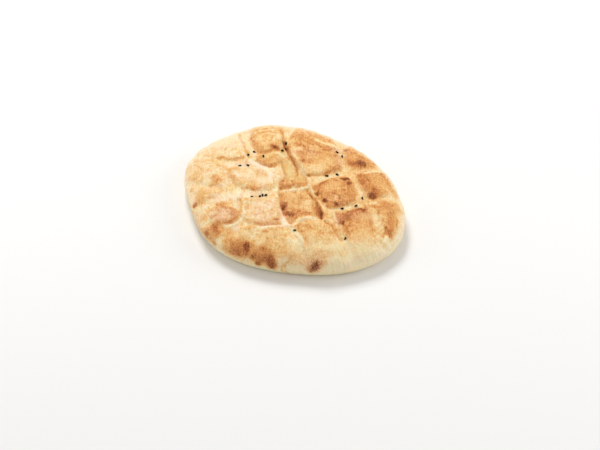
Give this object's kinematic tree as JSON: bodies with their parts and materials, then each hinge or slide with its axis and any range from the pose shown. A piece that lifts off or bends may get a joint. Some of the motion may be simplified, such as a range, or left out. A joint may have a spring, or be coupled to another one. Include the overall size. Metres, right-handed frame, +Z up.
{
  "type": "somun flatbread",
  "caption": "Oval somun, a flat hearth bread with puffed pads pressed into its top, a sunken middle and nigella seeds, lying on its flat underside.",
  "frame": {"origin": "middle of the loaf's outline, on its flat underside", "axes": "+X along the loaf's longer side, +Y across it, +Z up through the quilted top"},
  "size_m": [0.2276, 0.1831, 0.032],
  "materials": {
    "crust": "dry matt baked crust, golden with brown toasted pads and pale floury grooves and rim",
    "seeds": "dull black nigella seeds"
  },
  "bodies": {
    "root": {"somun": "crust"}
  },
  "joints": []
}
